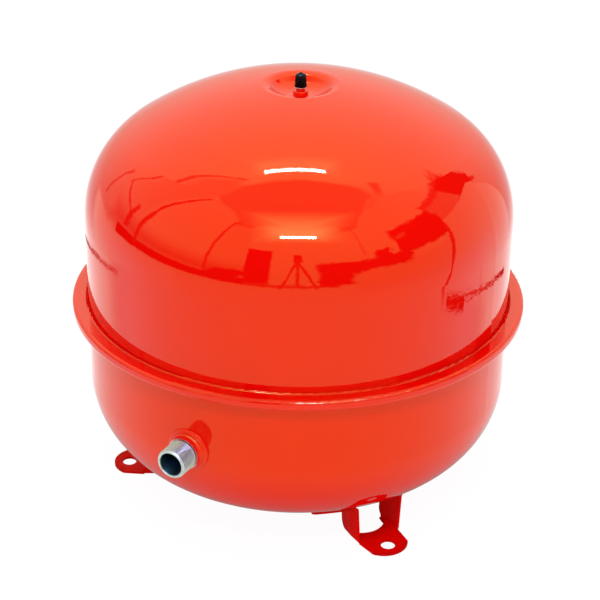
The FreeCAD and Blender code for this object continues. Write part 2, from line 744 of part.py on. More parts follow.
def build():
    pieces = {
        "upper_shell": upper_shell(),
        "lower_shell": lower_shell(),
        "clench_ring": clench_ring(),
        "diaphragm": diaphragm(),
        "water_nipple": water_nipple(),
        "nipple_weld": nipple_weld(),
        "valve_collar": valve_collar(),
        "valve_stem": valve_stem(),
        "core_barrel": core_barrel(),
        "core_gasket": core_gasket(),
        "core_pin": core_pin(),
        "core_seal": core_seal(),
        "core_spring": core_spring(),
        "valve_cap": valve_cap(),
        "cap_seal": cap_seal(),
    }
    one_foot = foot()
    one_set = foot_welds()
    for name, degrees in FOOT_ANGLES.items():
        pieces["foot_" + name] = turned_to(one_foot, degrees)
        pieces["foot_welds_" + name] = turned_to(one_set, degrees)
    return pieces


os.makedirs("parts", exist_ok=True)
for node, shape in build().items():
    shape.exportStep("parts/" + node + ".step")
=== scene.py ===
import math

import bmesh
import bpy
from mathutils import Matrix, Vector


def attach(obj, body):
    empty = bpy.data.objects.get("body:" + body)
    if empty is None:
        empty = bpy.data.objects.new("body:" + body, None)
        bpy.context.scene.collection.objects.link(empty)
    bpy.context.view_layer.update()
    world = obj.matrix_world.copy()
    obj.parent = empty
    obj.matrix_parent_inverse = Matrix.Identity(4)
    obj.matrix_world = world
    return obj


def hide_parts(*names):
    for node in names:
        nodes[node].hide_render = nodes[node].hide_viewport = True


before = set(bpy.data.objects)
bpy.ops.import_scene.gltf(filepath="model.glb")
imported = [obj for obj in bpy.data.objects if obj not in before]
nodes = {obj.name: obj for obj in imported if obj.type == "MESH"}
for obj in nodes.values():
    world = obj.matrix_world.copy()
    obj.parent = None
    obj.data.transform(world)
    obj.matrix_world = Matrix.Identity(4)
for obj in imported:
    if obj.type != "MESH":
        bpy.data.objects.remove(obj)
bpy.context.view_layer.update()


# Lower shell: deep-drawn from steel sheet, and like all that is welded to it dipped in orange-red
# enamel that is stoved to a hard gloss. The enamel keeps a fine ripple from running, a long slow
# wave from the drawn steel under it and now and then a speck of dust.
def shader_group(name, inputs, outputs):
    """Empty node group with its named inputs and outputs; returns it with its two end nodes."""
    group = bpy.data.node_groups.new(name, "ShaderNodeTree")
    for label, value in inputs.items():
        kind = "NodeSocketColor" if isinstance(value, tuple) else "NodeSocketFloat"
        socket = group.interface.new_socket(label, in_out="INPUT", socket_type=kind)
        socket.default_value = value
    for label, kind in outputs.items():
        group.interface.new_socket(label, in_out="OUTPUT", socket_type=kind)
    return group, group.nodes.new("NodeGroupInput"), group.nodes.new("NodeGroupOutput")


def supply(tree, socket, operand):
    """Sets a socket to a number or a colour, or links another socket to it."""
    if isinstance(operand, (int, float)):
        socket.default_value = operand
    elif isinstance(operand, tuple):
        socket.default_value = (*operand, 1)
    else:
        tree.links.new(operand, socket)


def feed(tree, node, **operands):
    """Supplies inputs of a node by their names; underscores stand for spaces."""
    for label, operand in operands.items():
        supply(tree, node.inputs[label.replace("_", " ")], operand)


def calculate(tree, operation, *operands):
    """Math node; each operand is a socket or a number."""
    node = tree.nodes.new("ShaderNodeMath")
    node.operation = operation
    for socket, operand in zip(node.inputs, operands):
        supply(tree, socket, operand)
    return node.outputs[0]


def noise(tree, where, scale, detail=2.0, roughness=0.5):
    """Soft noise from 0 to 1, with its scale per metre."""
    node = tree.nodes.new("ShaderNodeTexNoise")
    feed(tree, node, Vector=where, Scale=scale, Detail=detail, Roughness=roughness)
    return node.outputs["Fac"]


def blend_colour(tree, share, first, second):
    """Mix of two colours; each colour is a socket or a tuple."""
    node = tree.nodes.new("ShaderNodeMix")
    node.data_type = "RGBA"
    for index, operand in ((0, share), (6, first), (7, second)):
        supply(tree, node.inputs[index], operand)
    return node.outputs[2]


def coordinates(tree, vector):
    """X, Y and Z of a vector, by name."""
    node = tree.nodes.new("ShaderNodeSeparateXYZ")
    tree.links.new(vector, node.inputs[0])
    return node.outputs


def object_place(tree):
    """Place in the object's frame, in metres."""
    return tree.nodes.new("ShaderNodeTexCoord").outputs["Object"]


def cells(tree, where, scale):
    """Distance to the nearest point of a scatter, and a random value for each point."""
    node = tree.nodes.new("ShaderNodeTexVoronoi")
    feed(tree, node, Vector=where, Scale=scale)
    return node.outputs["Distance"], coordinates(tree, node.outputs["Color"])["X"]


def map_range(tree, value, low, high, to_low=0.0, to_high=1.0, smooth=True):
    """Clamped range, eased at both ends unless smooth is off."""
    node = tree.nodes.new("ShaderNodeMapRange")
    node.interpolation_type = "SMOOTHSTEP" if smooth else "LINEAR"
    feed(tree, node, Value=value, From_Min=low, From_Max=high, To_Min=to_low, To_Max=to_high)
    return node.outputs["Result"]


FINISH = {"Colour": "NodeSocketColor", "Roughness": "NodeSocketFloat", "Height": "NodeSocketFloat"}

# Scale per metre, roughness and height in millimetres of each layer of the relief
PEEL = (420.0, 0.5, 0.006)
RUN = (115.0, 0.5, 0.014)
WAVE = (17.0, 0.3, 0.11)
DUST_SCALE = 60.0
DUST_SPECK = 0.05
DUST_HEIGHT = 0.05
DUST_COLOUR = (0.25, 0.01, 0.01)

stoved_paint, paint_in, paint_out = shader_group(
    "Stoved paint",
    {"Light red": (0.80, 0.0025, 0.0006, 1), "Deep red": (0.72, 0.0015, 0.0004, 1), "Ripple": 1.0},
    FINISH)
place = object_place(stoved_paint)
relief = 0.0
for scale, roughness, height in (PEEL, RUN, WAVE):
    layer = noise(stoved_paint, place, scale, 1.0, roughness)
    relief = calculate(stoved_paint, "MULTIPLY_ADD", layer, height, relief)
relief = calculate(stoved_paint, "MULTIPLY", relief, paint_in.outputs["Ripple"])
dust_distance, dust_chance = cells(stoved_paint, place, DUST_SCALE)
dust = calculate(stoved_paint, "MULTIPLY", map_range(stoved_paint, dust_distance, DUST_SPECK, 0.0),
                 map_range(stoved_paint, dust_chance, 0.95, 0.96))
cloud = noise(stoved_paint, place, 9.0, 3.0)
clean = blend_colour(stoved_paint, cloud, paint_in.outputs["Light red"],
                     paint_in.outputs["Deep red"])
half_dust = calculate(stoved_paint, "MULTIPLY", dust, 0.5)
feed(stoved_paint, paint_out, Colour=blend_colour(stoved_paint, half_dust, clean, DUST_COLOUR),
     Roughness=calculate(stoved_paint, "MULTIPLY_ADD", cloud, 0.025, 0.012),
     Height=calculate(stoved_paint, "MULTIPLY_ADD", dust, DUST_HEIGHT, relief))


def new_material(name):
    """Node material with its Principled shader."""
    material = bpy.data.materials.new(name)
    material.use_nodes = True
    return material, material.node_tree, material.node_tree.nodes["Principled BSDF"]


def place_group(tree, group, **values):
    """Instance of a shader group with its own values."""
    node = tree.nodes.new("ShaderNodeGroup")
    node.node_tree = group
    feed(tree, node, **values)
    return node


def bump(tree, shader, height):
    """Relief from a height in millimetres."""
    node = tree.nodes.new("ShaderNodeBump")
    feed(tree, node, Distance=0.001, Height=height)
    feed(tree, shader, Normal=node.outputs["Normal"])


def from_group(name, group, own, **values):
    """Material that takes colour, roughness and relief from a group and the rest from its own."""
    material, tree, shader = new_material(name)
    made = place_group(tree, group, **values)
    feed(tree, shader, Base_Color=made.outputs["Colour"], Roughness=made.outputs["Roughness"],
         **own)
    bump(tree, shader, made.outputs["Height"])
    return material


def enamel(name, ripple, tint=(1.0, 0.93, 0.22), ior=1.5, specular=0.5):
    """Stoved enamel; its gloss is warm head-on and goes white where it is seen at a slant."""
    own = {"IOR": ior, "Specular_IOR_Level": specular, "Specular_Tint": tint}
    return from_group(name, stoved_paint, own, Ripple=ripple)


def finish_node(name, material):
    """Gives a CAD node its material."""
    mesh = nodes[name].data
    if not mesh.materials:
        mesh.materials.append(material)
    for slot in nodes[name].material_slots:
        slot.material = material


red_enamel = enamel("red_enamel", 1.0)
finish_node("lower_shell", red_enamel)


# Water nipple: a piece of thick steel pipe with a plain barrel that is welded in and a cut 3/4 inch
# thread, bright with zinc. The thread is taped over for the dip, so the red ends at its shoulder.
NIPPLE_Z = 117.973
NIPPLE_TURN = Matrix.Translation((0, 0, NIPPLE_Z / 1000)) @ Matrix.Rotation(math.pi / 2, 4, "X")
NIPPLE_FOOT = 184.6
SHOULDER_AT = 197.0
NIPPLE_END = 216.2
BORE_R = 10.0
BARREL_R = 14.4
GROOVE_R = 12.1
PIPE_THREAD_R = 13.22
PIPE_CHAMFER_R = 12.02
PIPE_PITCH = 1.814
PIPE_DEPTH = 1.16
CREST = 0.14
FLANK = 0.72
PAINT_END_Y = -0.1968
PAINT_FADE = 0.00008
COAT_THICKNESS = 0.05
# Painted shade colours for the bore and the roots of the thread
BORE_SHADE_COLOUR = (0.03, 0.07, 0.08)
ROOT_SHADE_COLOUR = (0.03, 0.035, 0.033)


def share_along(value, start, length):
    """How far a value has come along a length that begins at start, from 0 to 1."""
    return min(max((value - start) / length, 0.0), 1.0)


def ridge(height, angle, pitch):
    """Share of a right-hand thread's depth cut away: 0 on its rounded crest, 1 in its root."""
    phase = (height / pitch - angle / (2 * math.pi)) % 1.0
    depth = share_along(abs(2 * phase - 1), CREST, FLANK)
    return depth * depth * (3 - 2 * depth)


def steps(start, end, length):
    """Values from start up to, but not with, end in steps of about this length."""
    count = max(1, round(abs(end - start) / length))
    return [start + (end - start) * index / count for index in range(count)]


def put_in_scene(name, data):
    """New object in the scene from its mesh, lamp or camera data."""
    thing = bpy.data.objects.new(name, data)
    bpy.context.scene.collection.objects.link(thing)
    return thing


def lathe(name, outline, around, body, material, vary, sharp, placed=None):
    """Turned piece on its body, shaded smooth but for edges sharper than so many degrees.

    The outline is its half section in millimetres, each corner varied by the angle it is at.
    """
    vertices, faces = [], []
    for row, (radius, height) in enumerate(outline):
        upper = (row + 1) % len(outline)
        for step in range(around):
            angle = 2 * math.pi * step / around
            r, z = vary(radius, height, angle)
            vertices.append((r * math.cos(angle) / 1000, r * math.sin(angle) / 1000, z / 1000))
            after = (step + 1) % around
            faces.append((row * around + step, row * around + after,
                          upper * around + after, upper * around + step))
    mesh = bpy.data.meshes.new(name)
    mesh.from_pydata(vertices, [], faces)
    if placed:
        mesh.transform(placed)
    shape = bmesh.new()
    shape.from_mesh(mesh)
    bmesh.ops.recalc_face_normals(shape, faces=shape.faces)
    shape.to_mesh(mesh)
    shape.free()
    mesh.shade_smooth()
    mesh.set_sharp_from_angle(angle=math.radians(sharp))
    mesh.materials.append(material)
    piece = put_in_scene(name, mesh)
    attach(piece, body)
    return piece


def cut_pipe_thread(radius, height, angle):
    """Pipe thread that runs out towards the shoulder and ends at the chamfer."""
    if radius < PIPE_THREAD_R or height <= SHOULDER_AT:
        return radius, height
    run_out = share_along(height, SHOULDER_AT + 1.2, 1.6)
    cut = radius - PIPE_DEPTH * run_out * ridge(height, angle, PIPE_PITCH)
    return min(cut, PIPE_CHAMFER_R + NIPPLE_END - height), height


plated, plated_in, plated_out = shader_group(
    "Plated metal",
    {"Colour": (0.62, 0.64, 0.64, 1), "Dull colour": (0.3, 0.33, 0.33, 1), "Polish": 0.2,
     "Grain": 900.0},
    FINISH)
place = object_place(plated)
grain = noise(plated, place, plated_in.outputs["Grain"], 3.0, 0.6)
stain = map_range(plated, noise(plated, place, 240.0, 4.0, 0.6), 0.42, 0.68)
dulled = blend_colour(plated, calculate(plated, "MULTIPLY", stain, 0.5),
                      plated_in.outputs["Colour"], plated_in.outputs["Dull colour"])
stained = calculate(plated, "MULTIPLY_ADD", stain, 0.12, plated_in.outputs["Polish"])
feed(plated, plated_out, Colour=dulled,
     Roughness=calculate(plated, "MULTIPLY_ADD", grain, 0.1, stained),
     Height=calculate(plated, "MULTIPLY", grain, 0.005))


def half_painted(name, axis, edge, towards, fray, **metal):
    """Plated metal that is painted on one side of a place along an axis, with a frayed edge."""
    material, tree, shader = new_material(name)
    bare = place_group(tree, plated, **metal).outputs
    coat = place_group(tree, stoved_paint, Ripple=0.3).outputs
    where = object_place(tree)
    tooth = noise(tree, where, 700.0)
    distance = calculate(tree, "MULTIPLY_ADD", tooth, fray, coordinates(tree, where)[axis])
    mask = map_range(tree, distance, edge - towards * PAINT_FADE, edge + towards * PAINT_FADE)
    rough, height = (map_range(tree, mask, 0.0, 1.0, bare[label], coat[label], smooth=False)
                     for label in ("Roughness", "Height"))
    feed(tree, shader, Base_Color=blend_colour(tree, mask, bare["Colour"], coat["Colour"]),
         Roughness=rough, Metallic=calculate(tree, "SUBTRACT", 1.0, mask), IOR=1.5)
    bump(tree, shader, calculate(tree, "MULTIPLY_ADD", mask, COAT_THICKNESS, height))
    return material


def colour_of(material):
    """Tree and shader of a finished material, and the socket that its colour comes from."""
    tree = material.node_tree
    shader = tree.nodes["Principled BSDF"]
    return tree, shader, shader.inputs["Base Color"].links[0].from_socket


def off_axis(tree, across, up):
    """Distance from an axis, from the two coordinates square to it."""
    squares = calculate(tree, "MULTIPLY_ADD", across, across, calculate(tree, "MULTIPLY", up, up))
    return calculate(tree, "SQRT", squares)


zinc = half_painted("zinc_plate", "Y", PAINT_END_Y, 1, 0.0004, Colour=(0.57, 0.62, 0.52),
                    Dull_colour=(0.36, 0.41, 0.35), Polish=0.36, Grain=900.0)
tree, shader, bright = colour_of(zinc)
spot = coordinates(tree, object_place(tree))
out = off_axis(tree, spot["X"], calculate(tree, "SUBTRACT", spot["Z"], NIPPLE_Z / 1000))
# Painted shade: the zinc is darkened in the bore and in the roots of the thread; the limits are in
# metres
bore_shade_mask = map_range(tree, out, 0.0108, 0.0101)
in_thread = map_range(tree, out, 0.01295, 0.0123)
short_of_end = map_range(tree, spot["Y"], -0.2153, -0.2147)
root_shade_mask = calculate(tree, "MULTIPLY", in_thread, short_of_end)
root_shaded = blend_colour(tree, root_shade_mask, bright, ROOT_SHADE_COLOUR)
feed(tree, shader, Base_Color=blend_colour(tree, bore_shade_mask, root_shaded, BORE_SHADE_COLOUR))
nipple_outline = (
    [(BORE_R, NIPPLE_FOOT), (BARREL_R, NIPPLE_FOOT), (BARREL_R, SHOULDER_AT),
     (GROOVE_R, SHOULDER_AT), (GROOVE_R, SHOULDER_AT + 0.9)]
    + [(PIPE_THREAD_R, height) for height in steps(SHOULDER_AT + 1.1, NIPPLE_END, PIPE_PITCH / 10)]
    + [(PIPE_CHAMFER_R, NIPPLE_END), (BORE_R + 0.8, NIPPLE_END), (BORE_R, NIPPLE_END - 0.8)])
water_nipple = lathe("water_nipple_cut", nipple_outline, 96, "tank", zinc,
                     cut_pipe_thread, sharp=50.0, placed=NIPPLE_TURN)
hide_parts("water_nipple")


# Nipple weld: one pass of bead laid round the pipe, its scales and its two soft crests still to be
# felt under the enamel. It sits on the curve of the wall.
LOWER_WALL_FOOT = 111.673
CORNER_R = 77.6
CORNER_MIDDLE = 110.4
BEAD_SINK = 0.7
BEAD_SCALES = 31


def wall_reach(across, up):
    """How far the lower shell's skin reaches out at a place beside and above the nipple's axis."""
    drop = max(0.0, LOWER_WALL_FOOT - (NIPPLE_Z + up))
    radius = CORNER_MIDDLE + math.sqrt(CORNER_R ** 2 - drop ** 2)
    return math.sqrt(radius ** 2 - across ** 2)


def lay_bead(radius, height, angle):
    """Welding scales on the outside; the underside follows the wall, half a sheet deep."""
    under = height < 188.0
    if radius > 14.5 and not under:
        scale = abs(math.sin(angle * BEAD_SCALES + 0.9 * math.sin(3 * angle))) ** 1.5
        lift = 0.28 * scale + 0.25 * math.sin(2 * angle + 0.6) + 0.16 * math.sin(5 * angle)
        radius += 0.35 * lift
        height += 0.55 * lift
    sunk = wall_reach(radius * math.cos(angle), radius * math.sin(angle)) - BEAD_SINK
    return radius, sunk if under else max(height, sunk)


bead_outline = [
    (14.3, 186.0), (19.1, 186.0), (19.1, 188.5), (18.7, 189.2), (17.9, 189.7), (17.1, 189.8),
    (16.6, 190.2), (16.35, 190.9), (16.15, 191.6), (15.7, 192.2), (15.1, 192.7), (14.7, 193.6),
    (14.45, 194.9), (14.3, 194.9)]
red_bead = enamel("red_enamel_bead", 1.6)
nipple_bead = lathe("nipple_bead", bead_outline, 372, "tank", red_bead,
                    lay_bead, sharp=70.0, placed=NIPPLE_TURN)
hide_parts("nipple_weld")


# Feet: three strips of steel folded into a tab, two fins and two wings, spot-welded under the shell
# before the dip. The enamel draws back from their cut edges and leaves them a little darker.
EDGE_COLOUR = (0.30, 0.006, 0.004)

foot_enamel = enamel("red_enamel_foot", 0.8, ior=1.15, specular=0.15)
tree, shader, full = colour_of(foot_enamel)
edge = map_range(tree, tree.nodes.new("ShaderNodeNewGeometry").outputs["Pointiness"], 0.53, 0.60)
thinned = calculate(tree, "MULTIPLY", edge, 0.45)
feed(tree, shader, Base_Color=blend_colour(tree, thinned, full, EDGE_COLOUR))
for side in ("right", "left", "rear"):
    finish_node("foot_" + side, foot_enamel)
    finish_node("foot_welds_" + side, red_bead)


# Diaphragm: a bowl of black butyl rubber hung between the shells with its edge clamped in the rim.
# It comes matt and faintly grained from its mould.
moulded, moulded_in, moulded_out = shader_group(
    "Moulded skin",
    {"Colour": (0.03, 0.03, 0.03, 1), "Worn colour": (0.06, 0.06, 0.06, 1), "Polish": 0.5,
     "Grain": 1500.0, "Relief": 0.02},
    FINISH)
place = object_place(moulded)
grain = noise(moulded, place, moulded_in.outputs["Grain"])
smear = noise(moulded, place, 130.0, 3.0)
smeared = calculate(moulded, "MULTIPLY_ADD", smear, 0.15, moulded_in.outputs["Polish"])
worn = blend_colour(moulded, smear, moulded_in.outputs["Colour"], moulded_in.outputs["Worn colour"])
feed(moulded, moulded_out, Colour=worn,
     Roughness=calculate(moulded, "MULTIPLY_ADD", grain, 0.05, smeared),
     Height=calculate(moulded, "MULTIPLY", grain, moulded_in.outputs["Relief"]))

finish_node("diaphragm", from_group("butyl_rubber", moulded, {}, Polish=0.62, Relief=0.03))


# Upper shell: drawn from the same sheet as the lower one and set on it upside down, with the
# recess for the air valve pressed into its crown. It wears the same enamel.
finish_node("upper_shell", red_enamel)


# Clench ring: a steel band rolled over both flanges to hold the shells shut. The rolls leave it
# slightly uneven along its length, which breaks up the highlights in its groove.
finish_node("clench_ring", enamel("red_enamel_ring", 0.12, tint=(1.0, 0.96, 0.35)))


# Air valve: a turned collar welded in the recess carries a nickel-plated brass stem with a stop
# shoulder. Collar and neck were dipped with the tank, and the capped thread above stayed clean.
SHANK_FOOT = 368.133
STEM_FLOOR = 370.733
NECK_FOOT = 375.533
SHOULDER_Z = 378.133
CAP_Z = 379.033
STEM_TOP = 387.633
SHANK_R = 3.2
NECK_R = 3.9
STOP_R = 5.2
STEM_THREAD_R = 3.85
STEM_CHAMFER_R = 3.35
STEM_BORE_R = 2.6
STEM_SEAT_R = 2.25
STEM_PITCH = 0.794
STEM_DEPTH = 0.43
PAINT_END_Z = 0.3780
finish_node("valve_collar", red_bead)


def cut_valve_thread(radius, height, angle):
    """Valve thread from just above the shoulder to the chamfered mouth."""
    if radius < STEM_THREAD_R or height <= CAP_Z + 0.3:
        return radius, height
    run_out = share_along(height, CAP_Z + 0.3, 0.5)
    cut = radius - STEM_DEPTH * run_out * ridge(height, angle, STEM_PITCH)
    return min(cut, STEM_CHAMFER_R + STEM_TOP - height), height


nickel = half_painted("nickel_plate", "Z", PAINT_END_Z, -1, 0.0002, Colour=(0.78, 0.76, 0.72),
                      Dull_colour=(0.5, 0.47, 0.42), Polish=0.16, Grain=1600.0)
stem_outline = (
    [(1.0, SHANK_FOOT), (SHANK_R, SHANK_FOOT), (SHANK_R, NECK_FOOT), (NECK_R, NECK_FOOT),
     (NECK_R, SHOULDER_Z), (STOP_R - 0.15, SHOULDER_Z), (STOP_R, SHOULDER_Z + 0.15),
     (STOP_R, CAP_Z - 0.15), (STOP_R - 0.15, CAP_Z), (STEM_THREAD_R, CAP_Z)]
    + [(STEM_THREAD_R, height) for height in steps(CAP_Z + 0.1, STEM_TOP, STEM_PITCH / 10)]
    + [(STEM_CHAMFER_R, STEM_TOP), (STEM_BORE_R + 0.15, STEM_TOP), (STEM_BORE_R, STEM_TOP - 0.15),
       (STEM_BORE_R, CAP_Z + 0.5), (STEM_SEAT_R, SHOULDER_Z + 0.1), (STEM_SEAT_R, STEM_FLOOR),
       (1.0, STEM_FLOOR)])
valve_stem = lathe("valve_stem_cut", stem_outline, 72, "tank", nickel,
                   cut_valve_thread, sharp=50.0)
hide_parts("valve_stem")


# Valve core: a small brass insert screwed into the stem. A sprung pin through it holds a rubber
# washer shut against its lower end, and pushing the pin lets air in or out.
brass = from_group("plain_brass", plated, {"Metallic": 1.0}, Colour=(0.80, 0.58, 0.27),
                   Dull_colour=(0.5, 0.33, 0.13), Polish=0.22, Grain=2200.0)
wire = from_group("spring_steel", plated, {"Metallic": 1.0}, Colour=(0.56, 0.56, 0.57),
                  Dull_colour=(0.35, 0.34, 0.33), Polish=0.3, Grain=3000.0)
small_rubber = from_group("core_rubber", moulded, {}, Colour=(0.045, 0.045, 0.047),
                          Worn_colour=(0.075, 0.075, 0.078), Polish=0.45, Relief=0.008)
for name in ("core_barrel", "core_pin"):
    finish_node(name, brass)
finish_node("core_spring", wire)
for name in ("core_gasket", "core_seal"):
    finish_node(name, small_rubber)


# Valve cap: moulded in black plastic with fine flutes for the fingers, a coned top with flats and a
# small nub left by the mould. A rubber disc inside it closes on the mouth of the stem.
CAP_FLUTES = 18
FLUTE_DEPTH = 0.2
CAP_CEILING = 388.433
CONE_FOOT = 389.333
CONE_TOP = 390.733
NUB_R = 1.45


def flute(radius, height, angle):
    """Flutes up the side, which fade towards the skirt, and eight flats round the cone."""
    if radius > 4.4 and height < CONE_FOOT + 0.05:
        depth = FLUTE_DEPTH * share_along(height, CAP_Z + 0.9, 0.8)
        return radius - depth * (0.5 - 0.5 * math.cos(CAP_FLUTES * angle)) ** 0.7, height
    if height > CONE_FOOT and radius > 1.6:
        eighth = math.pi / 4
        flat = math.cos(eighth / 2) / math.cos(angle % eighth - eighth / 2)
        return radius * flat, height
    return radius, height


cap_outline = [
    (0.02, CAP_CEILING), (3.95, CAP_CEILING), (3.95, CAP_Z + 0.25), (4.2, CAP_Z), (5.15, CAP_Z),
    (5.33, CAP_Z + 0.1), (5.35, CAP_Z + 0.3), (5.3, CAP_Z + 0.8), (5.22, CAP_Z + 1.7),
    (5.12, CAP_Z + 3.5), (4.86, CONE_FOOT - 4.0), (4.6, CONE_FOOT - 0.35), (4.52, CONE_FOOT),
    (4.3, CONE_FOOT + 0.25), (1.7, CONE_TOP - 0.1), (NUB_R, CONE_TOP), (NUB_R, CONE_TOP + 0.45),
    (1.3, CONE_TOP + 0.61), (0.8, CONE_TOP + 0.65), (0.02, CONE_TOP + 0.65)]
black_plastic = from_group("black_plastic", moulded, {"Specular_IOR_Level": 0.08},
                           Colour=(0.001, 0.001, 0.001), Worn_colour=(0.003, 0.003, 0.003),
                           Polish=0.1, Grain=900.0, Relief=0.004)
valve_cap = lathe("valve_cap_moulded", cap_outline, 144, "valve_cap",
                  black_plastic, flute, sharp=25.0)
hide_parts("valve_cap")
finish_node("cap_seal", small_rubber)


# Studio: a pale floor under the tank, a white surround, and the walls, screens and gaps of a plain
# studio room. They show only as reflections in the gloss, by the direction that a reflection looks
# in, counted from the camera's side of the room.
VIEW_AZIMUTH = math.radians(28.6)

world = bpy.data.worlds.new("studio")
bpy.context.scene.world = world
world.use_nodes = True
tree = world.node_tree
tree.nodes.clear()
direction = tree.nodes.new("ShaderNodeTexCoord").outputs["Generated"]
turn = tree.nodes.new("ShaderNodeVectorRotate")
turn.rotation_type = "Z_AXIS"
feed(tree, turn, Vector=direction, Angle=-VIEW_AZIMUTH)
split = coordinates(tree, turn.outputs[0])
backwards = calculate(tree, "MULTIPLY", split["Y"], -1.0)
azimuth = calculate(tree, "DEGREES", calculate(tree, "ARCTAN2", split["X"], backwards))
elevation = calculate(tree, "DEGREES", calculate(tree, "ARCSINE", split["Z"]))
aside = calculate(tree, "DEGREES", calculate(tree, "ARCSINE", split["X"]))
over = calculate(tree, "DEGREES", calculate(tree, "ARCTAN2", split["Z"], backwards))

# A card is a patch of one brightness round its middle, in degrees. Slant and tilt lean its sides,
# and the wobble makes its outline ragged.
CARD_INPUTS = ("Across", "Up", "Wobble across", "Wobble up", "Middle across", "Middle up",
               "Half width", "Half height", "Soft edge", "Slant", "Tilt", "Ragged")
screen, screen_in, screen_out = shader_group(
    "Screen in the room", dict.fromkeys(CARD_INPUTS, 0.0), {"Mask": "NodeSocketFloat"})
card_in = screen_in.outputs
off_across = calculate(screen, "SUBTRACT", card_in["Across"], card_in["Middle across"])
off_up = calculate(screen, "SUBTRACT", card_in["Up"], card_in["Middle up"])
depths = []
for off, wobble, crosswise, lean, half in (
        (off_across, "Wobble across", off_up, "Slant", "Half width"),
        (off_up, "Wobble up", off_across, "Tilt", "Half height")):
    torn = calculate(screen, "MULTIPLY_ADD", card_in[wobble], card_in["Ragged"], off)
    leant = calculate(screen, "MULTIPLY_ADD", crosswise, card_in[lean], torn)
    distance = calculate(screen, "ABSOLUTE", leant)
    depths.append(calculate(screen, "SUBTRACT", card_in[half], distance))
outside = calculate(screen, "MULTIPLY", card_in["Soft edge"], -1.0)
feed(screen, screen_out, Mask=map_range(screen, calculate(screen, "MINIMUM", *depths),
                                        outside, card_in["Soft edge"]))


def ragged(tree, where):
    """Noise from -1 to 1 that tears the outlines of the cards."""
    return calculate(tree, "MULTIPLY_ADD", noise(tree, where, 7.0, 6.0, 0.8), 2.0, -1.0)


moved = tree.nodes.new("ShaderNodeVectorMath")
moved.inputs[1].default_value = (4.0, 7.0, 2.0)
tree.links.new(direction, moved.inputs[0])
wobble_across = ragged(tree, direction)
wobble_up = ragged(tree, moved.outputs[0])

